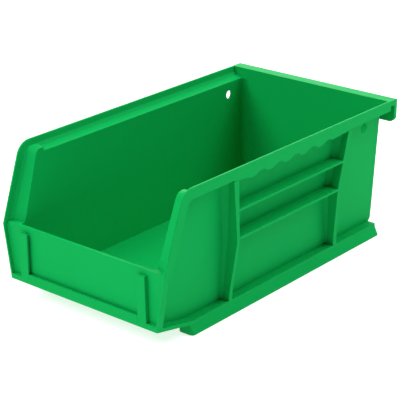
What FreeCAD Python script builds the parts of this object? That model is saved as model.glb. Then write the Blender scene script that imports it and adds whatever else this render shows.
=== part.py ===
"""Stackable storage bin: an open-fronted, one-shot polypropylene moulding that stands, stacks or hangs.

Millimetres.  The origin is under the middle of the bin, on the surface it stands on.
+Z is up, the open front faces -Y, the hanger lip is at +Y, and X runs across the width.

The moulding is written as its moulded features.  Each one is a closed solid in its own node,
and neighbours meet face to face without overlapping.
"""
import FreeCAD, Part
import math
import os

V = FreeCAD.Vector

# ---- driving dimensions ----------------------------------------------------------------------
LENGTH = 187.3
WIDTH = 104.8
HEIGHT = 76.2
WALL = 1.6

# side profile, seen from the side: a level rim, a raked front edge and an upright front below it
FRONT_Y = -LENGTH / 2
REAR_Y = LENGTH / 2
RIM_FRONT_Y = -80.0
KNEE_Z = 38.2
RIM_CORNER_R = 9.0

# rim: an upright band standing outside the wall, joined to it by a sloping stacking ledge
RIM_X = WIDTH / 2
RIM_TIP_T = 1.2
RIM_T = 2.2
RIM_H = 4.0
BAND_H = 5.5
LEDGE_FALL = 0.24
LEDGE_ROOT = 1.1
SOFFIT_FALL = 0.30
EDGE_R = 0.3
LIP_EDGE_R = 0.7

# the ledge of the raked edge turns the corner on its own centre and stops in a raised lobe
LOBE_Z = 68.8
LOBE_R = 4.0
LOBE_END_Y = -71.2
LOBE_TOP_Z = 73.7
LOBE_FALL = 0.16

# outer envelope of the rim, ribs and flanges: nearly upright above the knee, tapering in below it
KNEE_X = 51.9
FOOT_X = 47.5
FOOT_Z = 10.0

# side walls (outer face), with draft, and the back wall
WALL_X_LOW = 42.5
WALL_X_TOP = 46.5
BACK_Y = 88.0
CORNER_OUT_R = 1.0
CORNER_IN_R = 3.9
HEEL_R = 6.5

# floor: level, then rising to the front lip in a shallow ramp
FLOOR_Z = 5.0
FLOOR_T = 1.8
RAMP_START_Y = -69.4
RAMP_SLOPE = 0.205
RAMP_BLEND = 4.0

# front wall and the label holder moulded on it
FRONT_RECESS = 2.1
FRONT_TOP_Z = 38.8
FLANGE_TIP_T = 1.0
FLANGE_LEAN = 0.3
SILL_Z = 12.7
LABEL_HALF = 35.4
LABEL_RAIL_W_TOP = 4.8
LABEL_RAIL_W = 5.5
LABEL_TOP_Z = 36.0
LABEL_LEDGE_Z = 15.1
LABEL_LIP_T = 1.1
LABEL_GROOVE = 2.2
LABEL_SEAT_Z = 13.4

# reinforcing ribs on each side: (y, z) where a rib's two edges pass the rim, the knee and the foot
RIB_TOP_Z = 70.0
RIB_MID_Z = 39.5
FRONT_RIB = ((-43.9, -40.9, -41.3), (-40.4, -38.9, -38.7))
REAR_RIB = ((49.2, 41.6, 45.8), (52.6, 43.5, 48.9))
CROSS_RIB_Z = (54.5, 39.9)
CROSS_RIB_T = 1.3
CROSS_RIB_ROOT = 0.8
RIB_GUSSET = (3.2, 1.8, 0.9)
RIB_EDGE_R = 0.35

# wavy finger grip under the rim, between the two upright ribs
GRIP_START_Y = -33.2
GRIP_PITCH = 13.6
GRIP_WAVES = 5
GRIP_MID_Z = 69.3
GRIP_SWING = 1.0
GRIP_T = 2.2

# feet that drop inside the rim of the bin below
FOOT_IN_X = 41.2
FOOT_OUT_X = 49.7
FOOT_TOE = 0.7
FOOT_FRONT_Y = -70.6
FOOT_REAR_Y = 85.0
FOOT_WALL = 1.8
FOOT_CORNER_R = 2.6

# hanger lip along the top of the back wall
LIP_TOP_T = 2.9
LIP_T = 2.3
LIP_DROP_Z = 63.6
LIP_CORNER_R = 3.0
LIP_INNER_R = 1.0

# one small hole through each side wall
HOLE_Y = 73.0
HOLE_Z = 63.9
HOLE_D = 4.8
HOLE_FLARE_D = 5.8
HOLE_FLARE_T = 0.6

# ---- derived geometry ------------------------------------------------------------------------
RAKE = math.atan2(HEIGHT - KNEE_Z, RIM_FRONT_Y - FRONT_Y)
RAKE_DIR = (math.cos(RAKE), math.sin(RAKE))
RAKE_IN = (math.sin(RAKE), -math.cos(RAKE))
ARC_Z = HEIGHT - RIM_CORNER_R
ARC_Y = RIM_FRONT_Y + RIM_CORNER_R * math.tan(RAKE / 2)
MITRE = math.tan((math.pi / 2 - RAKE) / 2)
WALL_DEPTH = RIM_H + LEDGE_FALL * (RIM_X - RIM_T - WALL_X_TOP + WALL)
LOBE_Y = FRONT_Y + (LOBE_R + WALL_DEPTH - (LOBE_Z - KNEE_Z) * RAKE_IN[1]) / RAKE_IN[0]

FRONT_WALL_Y = FRONT_Y + FRONT_RECESS
FRONT_IN_Y = FRONT_WALL_Y + WALL
BACK_IN_Y = BACK_Y - WALL
HEEL_Y = BACK_Y - HEEL_R
HEEL_Z = FLOOR_Z + HEEL_R
SIDE_END_Y = BACK_IN_Y - CORNER_IN_R
DRAFT = (WALL_X_TOP - WALL_X_LOW) / (HEIGHT - FLOOR_Z)
FAR = 120.0


def yz_points(points):
    """Corners in the side plane, as vectors."""
    return [V(0, y, z) for y, z in points]


def closed_face(edges):
    """A flat face bounded by edges that already run head to tail."""
    return Part.Face(Part.Wire(edges))


def polygon_face(corners):
    """A flat face with straight sides."""
    return Part.Face(Part.makePolygon(corners + corners[:1]))


def across(face, x0, x1):
    """A side-plane face drawn at x = 0, made solid from x0 to x1."""
    solid = face.extrude(V(x1 - x0, 0, 0))
    solid.translate(V(x0, 0, 0))
    return solid


def along(points, y0, y1):
    """A cross-section of (x, z) corners, made solid from y0 to y1."""
    return polygon_face([V(x, y0, z) for x, z in points]).extrude(V(0, y1 - y0, 0))


def block(x0, x1, y0, y1, z0, z1):
    """A box between two corners."""
    return Part.makeBox(x1 - x0, y1 - y0, z1 - z0, V(x0, y0, z0))


def rounded(solid, radius, wanted):
    """Fillet the edges whose middle point is wanted."""
    edges = [e for e in solid.Edges if wanted(e.CenterOfMass, e)]
    return solid.makeFillet(radius, edges)


def wall_x(z):
    """Outer face of the side wall at a height."""
    return WALL_X_LOW + DRAFT * (z - FLOOR_Z)


def floor_under(y):
    """Height of the floor's underside on the ramp."""
    return FLOOR_Z + RAMP_SLOPE * (RAMP_START_Y - y)


def envelope(inset):
    """The outermost shape of rim, ribs and flanges, moved in by inset on both sides."""
    half = [(RIM_X, HEIGHT + 4), (RIM_X, HEIGHT), (KNEE_X, KNEE_Z), (FOOT_X, FOOT_Z), (FOOT_X, 0)]
    right = [(x - inset, z) for x, z in half]
    left = [(-x, z) for x, z in reversed(right)]
    return along(right + left, -FAR, FAR)


def floor_line(rise):
    """Floor profile raised by rise: up-front end, ramp, blend arc and level run to the heel."""
    front = (FRONT_Y - 2, floor_under(FRONT_Y - 2) + rise)
    blend_in = (RAMP_START_Y - RAMP_BLEND, floor_under(RAMP_START_Y - RAMP_BLEND) + rise)
    blend_mid = (RAMP_START_Y, FLOOR_Z + rise + RAMP_SLOPE * RAMP_BLEND / 4)
    blend_out = (RAMP_START_Y + RAMP_BLEND, FLOOR_Z + rise)
    return front, blend_in, blend_mid, blend_out


def tub_profile(front_y, back_y, rise, heel_r):
    """Side view of the tub, open-topped: front, ramped floor, rounded heel and back."""
    front, blend_in, blend_mid, blend_out = yz_points(floor_line(rise))
    low_z = FLOOR_Z + rise
    on_ramp = V(0, front_y, floor_under(front_y) + rise)
    heel_a = V(0, back_y - heel_r, low_z)
    heel_b = V(0, back_y, low_z + heel_r)
    heel_mid = V(0, back_y - heel_r * (1 - math.sqrt(0.5)), low_z + heel_r * (1 - math.sqrt(0.5)))
    top_back = V(0, back_y, HEIGHT + 4)
    top_front = V(0, front_y, HEIGHT + 4)
    return closed_face([
        Part.makeLine(on_ramp, blend_in),
        Part.Arc(blend_in, blend_mid, blend_out).toShape(),
        Part.makeLine(blend_out, heel_a),
        Part.Arc(heel_a, heel_mid, heel_b).toShape(),
        Part.makeLine(heel_b, top_back),
        Part.makeLine(top_back, top_front),
        Part.makeLine(top_front, on_ramp)])


def tub(front_y, back_y, inset, rise, heel_r, corner_r):
    """Drafted tub shape, less inset on each side, with rounded rear corners and a rounded heel."""
    low = wall_x(0) - inset
    top = wall_x(HEIGHT + 4) - inset
    solid = along([(low, 0), (top, HEIGHT + 4), (-top, HEIGHT + 4), (-low, 0)], front_y, back_y)
    solid = rounded(solid, corner_r, lambda m, e: m.y > back_y - 0.01 and abs(m.x) > 10)
    return solid.common(across(tub_profile(front_y, back_y, rise, heel_r), -FAR, FAR))


def below_knee():
    """Everything under the mitre where the raked edge meets the upright front."""
    deep = 40.0
    return across(polygon_face(yz_points([
        (FRONT_Y - deep, KNEE_Z + MITRE * deep),
        (FRONT_Y + deep, KNEE_Z - MITRE * deep),
        (FRONT_Y + deep, -deep),
        (FRONT_Y - deep, -deep)])), -FAR, FAR)


def follow_edge(section, centre_y, centre_z, radius):
    """Carry a section of (x, depth under the edge) round a corner of that radius and down the rake."""
    edge_z = centre_z + radius
    start = polygon_face([V(x, centre_y, edge_z - depth) for x, depth in section])
    axis = V(0, centre_y, centre_z)
    turn = math.degrees(RAKE)
    corner = start.revolve(axis, V(1, 0, 0), turn)
    end = start.copy()
    end.rotate(axis, V(1, 0, 0), turn)
    run = HEIGHT
    rake = end.extrude(V(0, -RAKE_DIR[0] * run, -RAKE_DIR[1] * run)).cut(below_knee())
    return corner.fuse(rake).removeSplitter()


def along_rim(section):
    """A section carried along the top, and the same section round the corner and down the rake."""
    start = polygon_face([V(x, ARC_Y, HEIGHT - depth) for x, depth in section])
    top = start.extrude(V(0, BACK_IN_Y - ARC_Y, 0))
    return top, follow_edge(section, ARC_Y, ARC_Z, RIM_CORNER_R)


def ledge_depth(x):
    """Depth of the stacking ledge under the rim's edge."""
    return RIM_H + LEDGE_FALL * (RIM_X - RIM_T - x)


def band_solids():
    """Everything above the soffit that the ledge slopes down to, along the top and down the rake."""
    inner_x = 42.0
    outer_x = RIM_X + 2
    section = [
        (outer_x, 0),
        (inner_x, 0),
        (inner_x, BAND_H + SOFFIT_FALL * (RIM_X - inner_x)),
        (outer_x, BAND_H - SOFFIT_FALL * (outer_x - RIM_X))]
    return [run.common(envelope(0)) for run in along_rim(section)]


def room_section():
    """Section of the open room over a ledge: rim's leaning inner face, sloped root, then the ledge."""
    inner_x = 40.0
    high = -12.0
    tip_x = RIM_X - RIM_TIP_T
    lean = (RIM_T - RIM_TIP_T) / RIM_H
    root_depth = RIM_H - LEDGE_ROOT
    root_x = RIM_X - RIM_T - LEDGE_ROOT
    return [
        (inner_x, high),
        (tip_x, high),
        (tip_x, 0),
        (tip_x - lean * root_depth, root_depth),
        (root_x, ledge_depth(root_x)),
        (inner_x, ledge_depth(inner_x))]


def space_above_ledges():
    """Open room over the ledges: top run, lobe, and raked run down to the top of the front wall."""
    section = room_section()
    top_face = polygon_face([V(x, LOBE_END_Y, HEIGHT - depth) for x, depth in section])
    top = top_face.extrude(V(0, BACK_IN_Y - LOBE_END_Y, 0))

    raked_section = [(x, depth - WALL_DEPTH) for x, depth in section]
    raked = follow_edge(raked_section, LOBE_Y, LOBE_Z, LOBE_R)

    inner_x, high = section[0]
    rim_x = RIM_X - RIM_T
    high_z = HEIGHT - high
    lobe_low = LOBE_TOP_Z - LOBE_FALL * (rim_x - inner_x)
    lobe = along([(inner_x, high_z), (rim_x, high_z), (rim_x, LOBE_TOP_Z), (inner_x, lobe_low)],
                 LOBE_Y - 6, LOBE_END_Y)

    beside_rim = [(rim_x - LEDGE_ROOT, high)] + section[1:4] + [(rim_x - LEDGE_ROOT, section[3][1])]
    room = top.fuse(raked).fuse(lobe)
    for run in along_rim(beside_rim):
        room = room.fuse(run)
    front_wall_top = block(0, FAR, FRONT_WALL_Y, FRONT_WALL_Y + 20, 0, FRONT_TOP_Z)
    return room.cut(front_wall_top)


def rims_and_ledges(outside, room):
    """Right-hand top rim, raked rim, top ledge and raked ledge."""
    section = [(RIM_X - RIM_TIP_T, 0), (RIM_X + 2, 0), (RIM_X + 2, RIM_H), (RIM_X - RIM_T, RIM_H)]
    top_rim, front_rim = [run.common(envelope(0)) for run in along_rim(section)]
    right_half = block(0, FAR, -FAR, FAR, 0, FAR)
    bands = [band.common(right_half).cut(outside) for band in band_solids()]
    top_ledge = bands[0].cut(room).cut(top_rim)
    front_ledge = bands[1].cut(room).cut(front_rim)
    top_ledge = max(top_ledge.Solids, key=lambda piece: piece.Volume)
    front_ledge = max(front_ledge.Solids, key=lambda piece: piece.Volume)
    top_rim = rounded(top_rim, EDGE_R, lambda m, e: m.z > HEIGHT - 0.01 and e.Length > 50)

    def front_edge(middle, edge):
        from_arc = math.hypot(middle.y - ARC_Y, middle.z - ARC_Z)
        rake_depth = (middle.y - FRONT_Y) * RAKE_IN[0] + (middle.z - KNEE_Z) * RAKE_IN[1]
        on_corner = middle.z > ARC_Z and from_arc > RIM_CORNER_R - 1.5 and middle.y < ARC_Y - 1
        return edge.Length > 8 and (abs(rake_depth) < 0.05 or on_corner)

    front_rim = rounded(front_rim, EDGE_R, front_edge)
    return top_rim, front_rim, top_ledge, front_ledge


def floor_panel():
    """Floor plate, a little wider than the tub, with the ramp up to the front lip."""
    front_low = V(0, FRONT_Y, floor_under(FRONT_Y))
    front_high = V(0, FRONT_Y, floor_under(FRONT_Y) + FLOOR_T)
    low = yz_points(floor_line(0))[1:]
    high = yz_points(floor_line(FLOOR_T))[1:]
    heel_low = V(0, HEEL_Y, FLOOR_Z)
    heel_high = V(0, HEEL_Y, FLOOR_Z + FLOOR_T)
    profile = closed_face([
        Part.makeLine(front_low, low[0]),
        Part.Arc(*low).toShape(),
        Part.makeLine(low[2], heel_low),
        Part.makeLine(heel_low, heel_high),
        Part.makeLine(heel_high, high[2]),
        Part.Arc(high[2], high[1], high[0]).toShape(),
        Part.makeLine(high[0], front_high),
        Part.makeLine(front_high, front_low)])
    plate = across(profile, -FOOT_X, FOOT_X)
    return rounded(plate, 1.0, lambda m, e: m.y < FRONT_Y + 0.01 and abs(m.x) > FOOT_X - 0.01)


def side_hole():
    """Round hole through the right side wall, flared where it opens outside."""
    outer = wall_x(HOLE_Z)
    centre = V(outer - HOLE_FLARE_T, HOLE_Y, HOLE_Z)
    flare = Part.makeCone(HOLE_D / 2, HOLE_FLARE_D / 2, HOLE_FLARE_T + 0.2, centre, V(1, 0, 0))
    drill = Part.makeCylinder(HOLE_D / 2, 20, V(outer - 15, HOLE_Y, HOLE_Z), V(1, 0, 0))
    return drill.fuse(flare)


def between(low, high):
    """Flat-sided solid between two rings of corners whose matching sides are parallel."""
    faces = [polygon_face(low), polygon_face(high)]
    for i in range(len(low)):
        j = (i + 1) % len(low)
        faces.append(polygon_face([low[i], low[j], high[j], high[i]]))
    return Part.makeSolid(Part.makeShell(faces))


def rib_gusset(front_ys, heights):
    """Sloping web that braces the front of an upright rib against the wall."""
    rings = []
    for y, z, size in zip(front_ys, heights, RIB_GUSSET):
        wall = wall_x(z)
        rings.append([V(40, y, z), V(wall + size, y, z), V(wall, y - size, z), V(40, y - size, z)])
    return between(rings[1], rings[0]).fuse(between(rings[2], rings[1]))


def upright_rib(edges, outside, rim_parts):
    """One upright rib from the floor flange to the soffit of the stacking ledge."""
    heights = (RIB_TOP_Z, RIB_MID_Z, FLOOR_Z + FLOOR_T)
    near, far = [list(zip(side, heights)) for side in edges]
    plate = across(polygon_face(yz_points(near + far[::-1])), 40.0, FAR).common(envelope(0))
    plate = plate.fuse(rib_gusset(edges[0], heights))
    return plate.cut(outside).cut(rim_parts)


def cross_rib(z, outside, uprights):
    """One lengthwise rib between the upright ribs, thicker at its root."""
    y0 = FRONT_RIB[0][1]
    y1 = REAR_RIB[1][0]
    tip = CROSS_RIB_T / 2
    root = tip + CROSS_RIB_ROOT / 2
    bar = along([(40.0, z - root), (40.0, z + root), (RIM_X + 2, z + tip), (RIM_X + 2, z - tip)], y0, y1)
    bar = bar.common(envelope(0))
    bar = rounded(bar, RIB_EDGE_R, lambda m, e: m.x > RIM_X - 1.5 and e.Length > 50)
    bar = bar.cut(outside)
    for upright in uprights:
        bar = bar.cut(upright)
    return max(bar.Solids, key=lambda piece: piece.Volume)


def finger_grip(outside, ledge, uprights):
    """Wavy strip under the rim, between the upright ribs: troughs and crests are equal arcs."""
    half = GRIP_PITCH / 2
    start_y = FRONT_RIB[0][0]
    end_y = REAR_RIB[1][0]
    edges = [Part.makeLine(V(0, start_y, HEIGHT - BAND_H + 2), V(0, start_y, GRIP_MID_Z + GRIP_SWING))]
    y = GRIP_START_Y
    lead_in = V(0, y, GRIP_MID_Z)
    edges.append(Part.makeLine(V(0, start_y, GRIP_MID_Z + GRIP_SWING), lead_in))
    last = lead_in
    for wave in range(GRIP_WAVES):
        for way in (-1, 1):
            middle = V(0, y + half / 2, GRIP_MID_Z + way * GRIP_SWING)
            end = V(0, y + half, GRIP_MID_Z)
            edges.append(Part.Arc(last, middle, end).toShape())
            last = end
            y += half
    run_out = V(0, end_y, GRIP_MID_Z + GRIP_SWING)
    top_end = V(0, end_y, HEIGHT - BAND_H + 2)
    edges.append(Part.makeLine(last, run_out))
    edges.append(Part.makeLine(run_out, top_end))
    edges.append(Part.makeLine(top_end, V(0, start_y, HEIGHT - BAND_H + 2)))
    strip = across(closed_face(edges), RIM_X - GRIP_T, FAR).common(envelope(0))
    strip = strip.cut(outside).cut(ledge)
    for upright in uprights:
        strip = strip.cut(upright)
    hanging = [piece for piece in strip.Solids if piece.CenterOfMass.z < HEIGHT - BAND_H + 0.5]
    return max(hanging, key=lambda piece: piece.Volume)


def foot_rail(outside, floor):
    """Hollow foot under one side, flaring outward to the ground and closed at both ends."""
    top_z = FLOOR_Z + FLOOR_T
    section = [
        (FOOT_IN_X, 0),
        (FOOT_OUT_X - FOOT_TOE / 2, 0),
        (FOOT_OUT_X, FOOT_TOE),
        (FOOT_X, FLOOR_Z),
        (FOOT_X, top_z),
        (FOOT_IN_X, top_z)]
    rail = along(section, FOOT_FRONT_Y, FOOT_REAR_Y)
    core = block(
        FOOT_IN_X + FOOT_WALL, FOOT_X - FOOT_WALL,
        FOOT_FRONT_Y + FOOT_WALL, FOOT_REAR_Y - FOOT_WALL,
        -1, FLOOR_Z - FOOT_WALL)
    trim = block(FOOT_IN_X - 5, FOOT_OUT_X + 5, FOOT_FRONT_Y - 5, FOOT_FRONT_Y + FOOT_CORNER_R, -1, 20)
    drum = Part.makeCylinder(
        FOOT_CORNER_R, 30, V(FOOT_OUT_X - FOOT_CORNER_R, FOOT_FRONT_Y + FOOT_CORNER_R, -2))
    outer_side = block(FOOT_OUT_X - FOOT_CORNER_R, FOOT_OUT_X + 5, FOOT_FRONT_Y - 5,
                       FOOT_FRONT_Y + FOOT_CORNER_R, -1, 20)
    rail = rail.cut(outer_side.common(trim).cut(drum))
    return rail.cut(core).cut(floor).cut(outside)


def front_flange(floor):
    """Upright lip at one side of the front, thin at its edge and thicker at its root."""
    deep = FRONT_RECESS - LEDGE_ROOT / 2
    rings = []
    for z, tip_x in ((FOOT_Z, FOOT_X - FLANGE_TIP_T), (KNEE_Z, RIM_X - RIM_TIP_T)):
        rings.append([
            V(FAR, FRONT_Y, z),
            V(tip_x, FRONT_Y, z),
            V(tip_x - FLANGE_LEAN * deep, FRONT_Y + deep, z),
            V(tip_x - FLANGE_LEAN * deep - LEDGE_ROOT, FRONT_WALL_Y, z),
            V(FAR, FRONT_WALL_Y, z)])
    lip = between(*rings).common(envelope(0)).common(below_knee()).cut(floor)
    return max(lip.Solids, key=lambda piece: piece.Volume)


def front_wall(floor, edge_parts):
    """Front wall plate, as wide as the flanges in front of it."""
    plate = block(-FAR, FAR, FRONT_WALL_Y, FRONT_IN_Y, 0, FRONT_TOP_Z)
    plate = plate.common(envelope(0)).cut(floor)
    for part in edge_parts:
        plate = plate.cut(part)
    return max(plate.Solids, key=lambda piece: piece.Volume)


def back_wall(trimmed):
    """Back wall with its rounded corners, carried out to the rims at the top."""
    main = trimmed.common(block(-FAR, FAR, SIDE_END_Y, FAR, HEEL_Z, HEIGHT))
    shoulder_z = HEIGHT - BAND_H
    shoulder = block(-FAR, FAR, BACK_IN_Y, BACK_Y, shoulder_z, HEIGHT).common(envelope(0))
    return main.fuse(shoulder).removeSplitter()


def hanger_top():
    """Level plate that carries the hanger lip behind the back wall."""
    plate = block(-RIM_X, RIM_X, BACK_Y, REAR_Y, HEIGHT - LIP_TOP_T, HEIGHT)
    return rounded(plate, LIP_EDGE_R, lambda m, e: m.y > REAR_Y - 0.01 and m.z > HEIGHT - 0.01)


def hanger_lip():
    """Lip that turns down behind the bin, with rounded lower corners and a filleted root."""
    plate = block(-RIM_X, RIM_X, REAR_Y - LIP_T, REAR_Y, LIP_DROP_Z, HEIGHT - LIP_TOP_T)
    plate = rounded(plate, LIP_CORNER_R, lambda m, e: abs(m.x) > RIM_X - 0.01 and m.z < LIP_DROP_Z + 0.01)
    root = block(-RIM_X, RIM_X, REAR_Y - LIP_T - LIP_INNER_R, REAR_Y - LIP_T,
                 HEIGHT - LIP_TOP_T - LIP_INNER_R, HEIGHT - LIP_TOP_T)
    hollow = Part.makeCylinder(
        LIP_INNER_R, 2 * FAR,
        V(-FAR, REAR_Y - LIP_T - LIP_INNER_R, HEIGHT - LIP_TOP_T - LIP_INNER_R), V(1, 0, 0))
    return plate.fuse(root.cut(hollow)).removeSplitter()


def front_sill(floor, flanges):
    """Low sill across the front, on the floor's edge between the two flanges."""
    bar = block(-FAR, FAR, FRONT_Y, FRONT_WALL_Y, FOOT_Z, SILL_Z).common(envelope(0)).cut(floor)
    for flange in flanges:
        bar = bar.cut(flange)
    return max(bar.Solids, key=lambda piece: piece.Volume)


def label_rail():
    """Right-hand label rail: its inner edge overhangs a groove that holds the card."""
    plan = [
        (LABEL_HALF, FRONT_Y),
        (LABEL_HALF + LABEL_RAIL_W, FRONT_Y),
        (LABEL_HALF + LABEL_RAIL_W, FRONT_WALL_Y),
        (LABEL_HALF + LABEL_GROOVE, FRONT_WALL_Y),
        (LABEL_HALF + LABEL_GROOVE, FRONT_Y + LABEL_LIP_T),
        (LABEL_HALF, FRONT_Y + LABEL_LIP_T)]
    face = polygon_face([V(x, y, SILL_Z) for x, y in plan])
    rail = face.extrude(V(0, 0, LABEL_TOP_Z - SILL_Z))
    beyond = LABEL_HALF + LABEL_RAIL_W + 5
    taper = along([
        (LABEL_HALF + LABEL_RAIL_W_TOP, LABEL_TOP_Z),
        (LABEL_HALF + LABEL_RAIL_W, SILL_Z),
        (beyond, SILL_Z),
        (beyond, LABEL_TOP_Z)], FRONT_Y - 1, FRONT_WALL_Y + 1)
    rail = rail.cut(taper)
    return rounded(rail, RIB_EDGE_R, lambda m, e: m.y < FRONT_Y + 0.01 and e.Length > 15)


def label_ledge():
    """Ledge between the label rails, with the seat that the card stands in."""
    profile = polygon_face(yz_points([
        (FRONT_Y, SILL_Z),
        (FRONT_Y, LABEL_LEDGE_Z),
        (FRONT_Y + LABEL_LIP_T, LABEL_LEDGE_Z),
        (FRONT_Y + LABEL_LIP_T, LABEL_SEAT_Z),
        (FRONT_WALL_Y, LABEL_SEAT_Z),
        (FRONT_WALL_Y, SILL_Z)]))
    return across(profile, -LABEL_HALF, LABEL_HALF)


def build():
    """All nodes, as a dictionary of name to solid."""
    outside = tub(FRONT_WALL_Y, BACK_Y, 0, 0, HEEL_R, CORNER_OUT_R)
    inside = tub(FRONT_IN_Y, BACK_IN_Y, WALL, FLOOR_T, HEEL_R - FLOOR_T, CORNER_IN_R)
    floor = floor_panel()
    shell = outside.cut(inside)
    walls = shell.cut(floor)
    room = space_above_ledges()
    both_rooms = room.fuse(room.mirror(V(0, 0, 0), V(1, 0, 0)))
    top_rim, front_rim, top_ledge, front_ledge = rims_and_ledges(outside, room)
    rim_parts = Part.makeCompound([top_ledge, front_ledge])
    trimmed = walls.cut(both_rooms)
    heel_zone = block(-FAR, FAR, HEEL_Y, FAR, -1, HEEL_Z)
    side_zone = block(0, FAR, FRONT_IN_Y, SIDE_END_Y, 0, HEIGHT)

    front_rib = upright_rib(FRONT_RIB, outside, rim_parts)
    rear_rib = upright_rib(REAR_RIB, outside, rim_parts)
    uprights = (front_rib, rear_rib)

    right = {
        "side_wall": trimmed.common(side_zone).cut(heel_zone).cut(side_hole()),
        "top_rim": top_rim,
        "front_rim": front_rim,
        "top_ledge": top_ledge,
        "front_ledge": front_ledge,
        "front_flange": front_flange(floor),
        "finger_grip": finger_grip(outside, rim_parts, uprights),
        "front_rib": front_rib,
        "rear_rib": rear_rib,
        "upper_rib": cross_rib(CROSS_RIB_Z[0], outside, uprights),
        "lower_rib": cross_rib(CROSS_RIB_Z[1], outside, uprights),
        "foot_rail": foot_rail(outside, floor),
        "label_rail": label_rail(),
    }
    nodes = {}
    for name, solid in right.items():
        nodes["right_" + name] = solid
        nodes["left_" + name] = solid.mirror(V(0, 0, 0), V(1, 0, 0))

    edge_parts = [nodes[side + name] for side in ("right_", "left_") for name in ("front_rim", "front_ledge")]
    nodes["floor_panel"] = floor
    nodes["front_wall"] = front_wall(floor, edge_parts)
    nodes["rear_heel"] = shell.common(heel_zone)
    nodes["back_wall"] = back_wall(trimmed)
    nodes["hanger_top"] = hanger_top()
    nodes["hanger_lip"] = hanger_lip()
    flanges = (nodes["right_front_flange"], nodes["left_front_flange"])
    nodes["front_sill"] = front_sill(floor, flanges)
    nodes["label_ledge"] = label_ledge()
    return nodes


os.makedirs("parts", exist_ok=True)
for node, solid in sorted(build().items()):
    box = solid.BoundBox
    print("%-20s solids %d valid %s volume %9.1f  x %.1f..%.1f y %.1f..%.1f z %.1f..%.1f" % (
        node, len(solid.Solids), solid.isValid(), solid.Volume,
        box.XMin, box.XMax, box.YMin, box.YMax, box.ZMin, box.ZMax))
    solid.exportStep("parts/" + node + ".step")
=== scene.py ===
"""Stackable storage bin: material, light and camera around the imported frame.

Everything is in metres.  Lights and camera are placed by azimuth and elevation round the bin:
azimuth 0 is straight in front of it, and 90 is on its right.
"""
import bpy
import math
from mathutils import Matrix, Vector

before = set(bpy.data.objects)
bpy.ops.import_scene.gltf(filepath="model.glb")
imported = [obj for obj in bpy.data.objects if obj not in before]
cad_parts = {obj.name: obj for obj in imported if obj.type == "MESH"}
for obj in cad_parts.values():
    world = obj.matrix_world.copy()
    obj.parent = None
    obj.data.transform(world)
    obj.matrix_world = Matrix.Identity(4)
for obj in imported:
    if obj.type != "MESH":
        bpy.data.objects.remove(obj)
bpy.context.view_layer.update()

# ---- plastic -----------------------------------------------------------------------------------
DEEP_GREEN = (8, 158, 75)
PALE_GREEN = (10, 164, 79)
REFRACTIVE_INDEX = 1.28
SPECULAR_LEVEL = 0.06
LEAST_ROUGHNESS = 0.50
MOST_ROUGHNESS = 0.60
CLOUD_SCALE = 16.0
CLOUD_DETAIL = 3.0
GRAIN_SCALE = 1600.0
GRAIN_DETAIL = 2.0
GRAIN_STRENGTH = 0.12
GRAIN_HEIGHT = 0.0001

# ---- floor -------------------------------------------------------------------------------------
FLOOR_HALF = 6.0
FLOOR_TONE = 0.5
FLOOR_GLOW = 0.77
FLOOR_ROUGHNESS = 0.9

# ---- light: each panel's name, azimuth, elevation and watts ------------------------------------
PANEL_WIDTH = 1.6
PANEL_HEIGHT = 1.0
PANEL_DISTANCE = 2.2
PANEL_LIFT = 0.35
PANEL_AIM = (0, 0, 0.03)
PANELS = (
    ("front_high", 0, 42, 24),
    ("left_high", -45, 42, 42),
    ("back_left_low", -135, 12, 41),
    ("back_right_low", 135, 12, 8),
    ("back_right_high", 135, 42, 31),
    ("back_overhead", 180, 65, 20),
)

# ---- camera ------------------------------------------------------------------------------------
CAMERA_AZIMUTH = 39.72
CAMERA_ELEVATION = 21.76
CAMERA_ROLL = -0.11
CAMERA_DISTANCE = 0.762
CAMERA_AIM = (-0.00483, 0.0, 0.03313)
CAMERA_LENS = 133.33
CAMERA_SENSOR = 36.0
CAMERA_NEAR = 0.01


def screen_colour(rgb):
    """Linear colour, with alpha, from 0-255 screen values."""
    def linear(value):
        share = value / 255.0
        return share / 12.92 if share <= 0.04045 else ((share + 0.055) / 1.055) ** 2.4
    return tuple(linear(value) for value in rgb) + (1.0,)


def moulded_plastic(name):
    """Satin polypropylene: faint clouds of tone and gloss, and a fine grain."""
    mat = bpy.data.materials.new(name)
    mat.use_nodes = True
    tree = mat.node_tree
    tree.nodes.clear()
    new = tree.nodes.new
    link = tree.links.new

    out = new("ShaderNodeOutputMaterial")
    bsdf = new("ShaderNodeBsdfPrincipled")
    link(bsdf.outputs["BSDF"], out.inputs["Surface"])
    bsdf.inputs["IOR"].default_value = REFRACTIVE_INDEX
    bsdf.inputs["Specular IOR Level"].default_value = SPECULAR_LEVEL

    position = new("ShaderNodeTexCoord").outputs["Object"]

    clouds = new("ShaderNodeTexNoise")
    clouds.inputs["Scale"].default_value = CLOUD_SCALE
    clouds.inputs["Detail"].default_value = CLOUD_DETAIL
    link(position, clouds.inputs["Vector"])

    tint = new("ShaderNodeMix")
    tint.data_type = "RGBA"
    tint.inputs["A"].default_value = screen_colour(DEEP_GREEN)
    tint.inputs["B"].default_value = screen_colour(PALE_GREEN)
    link(clouds.outputs["Fac"], tint.inputs["Factor"])
    link(tint.outputs["Result"], bsdf.inputs["Base Color"])

    gloss = new("ShaderNodeMapRange")
    gloss.inputs["To Min"].default_value = LEAST_ROUGHNESS
    gloss.inputs["To Max"].default_value = MOST_ROUGHNESS
    link(clouds.outputs["Fac"], gloss.inputs["Value"])
    link(gloss.outputs["Result"], bsdf.inputs["Roughness"])

    grain = new("ShaderNodeTexNoise")
    grain.inputs["Scale"].default_value = GRAIN_SCALE
    grain.inputs["Detail"].default_value = GRAIN_DETAIL
    link(position, grain.inputs["Vector"])

    bump = new("ShaderNodeBump")
    bump.inputs["Strength"].default_value = GRAIN_STRENGTH
    bump.inputs["Distance"].default_value = GRAIN_HEIGHT
    link(grain.outputs["Fac"], bump.inputs["Height"])
    link(bump.outputs["Normal"], bsdf.inputs["Normal"])
    return mat


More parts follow.
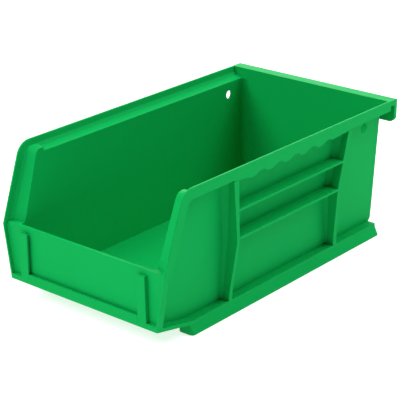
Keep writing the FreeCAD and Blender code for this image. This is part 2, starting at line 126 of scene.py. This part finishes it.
def pale_floor():
    """Large, plain, matt white floor that glows a little, so that the shadows on it stay soft."""
    half = FLOOR_HALF
    corners = [(-half, -half, 0), (half, -half, 0), (half, half, 0), (-half, half, 0)]
    mesh = bpy.data.meshes.new("floor")
    mesh.from_pydata(corners, [], [(0, 1, 2, 3)])
    floor = bpy.data.objects.new("floor", mesh)
    bpy.context.scene.collection.objects.link(floor)
    mat = bpy.data.materials.new("floor_paint")
    mat.use_nodes = True
    bsdf = mat.node_tree.nodes["Principled BSDF"]
    bsdf.inputs["Base Color"].default_value = (FLOOR_TONE, FLOOR_TONE, FLOOR_TONE, 1)
    bsdf.inputs["Emission Color"].default_value = (1, 1, 1, 1)
    bsdf.inputs["Emission Strength"].default_value = FLOOR_GLOW
    bsdf.inputs["Roughness"].default_value = FLOOR_ROUGHNESS
    mesh.materials.append(mat)


def on_sphere(azimuth, elevation, distance):
    """Place at an azimuth and elevation, in degrees, and a distance from the origin."""
    az, el = math.radians(azimuth), math.radians(elevation)
    return Vector((math.sin(az) * math.cos(el), -math.cos(az) * math.cos(el), math.sin(el))) * distance


def soft_panel(name, azimuth, elevation, watts):
    """Large rectangular soft light, aimed at the bin."""
    data = bpy.data.lights.new(name, "AREA")
    data.shape = "RECTANGLE"
    data.size = PANEL_WIDTH
    data.size_y = PANEL_HEIGHT
    data.energy = watts
    lamp = bpy.data.objects.new(name, data)
    bpy.context.scene.collection.objects.link(lamp)
    lamp.location = on_sphere(azimuth, elevation, PANEL_DISTANCE) + Vector((0, 0, PANEL_LIFT))
    towards = Vector(PANEL_AIM) - lamp.location
    lamp.rotation_euler = towards.to_track_quat("-Z", "Y").to_euler()


def dark_surroundings():
    """World without light of its own: the panels and the floor light the bin."""
    world = bpy.data.worlds.new("studio")
    world.use_nodes = True
    world.node_tree.nodes["Background"].inputs["Strength"].default_value = 0.0
    bpy.context.scene.world = world


def add_camera():
    """Camera on a sphere round its aim point."""
    away = on_sphere(CAMERA_AZIMUTH, CAMERA_ELEVATION, 1.0)
    data = bpy.data.cameras.new("camera")
    data.sensor_width = CAMERA_SENSOR
    data.lens = CAMERA_LENS
    data.clip_start = CAMERA_NEAR
    cam = bpy.data.objects.new("camera", data)
    bpy.context.scene.collection.objects.link(cam)
    look = (-away).to_track_quat("-Z", "Y").to_matrix().to_4x4()
    roll = Matrix.Rotation(math.radians(CAMERA_ROLL), 4, "Z")
    cam.matrix_world = Matrix.Translation(Vector(CAMERA_AIM) + away * CAMERA_DISTANCE) @ look @ roll
    bpy.context.scene.camera = cam


plastic = moulded_plastic("green_polypropylene")
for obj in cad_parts.values():
    obj.data.materials.clear()
    obj.data.materials.append(plastic)

pale_floor()
dark_surroundings()
for panel in PANELS:
    soft_panel(*panel)
bpy.context.scene.view_settings.view_transform = "Standard"
add_camera()
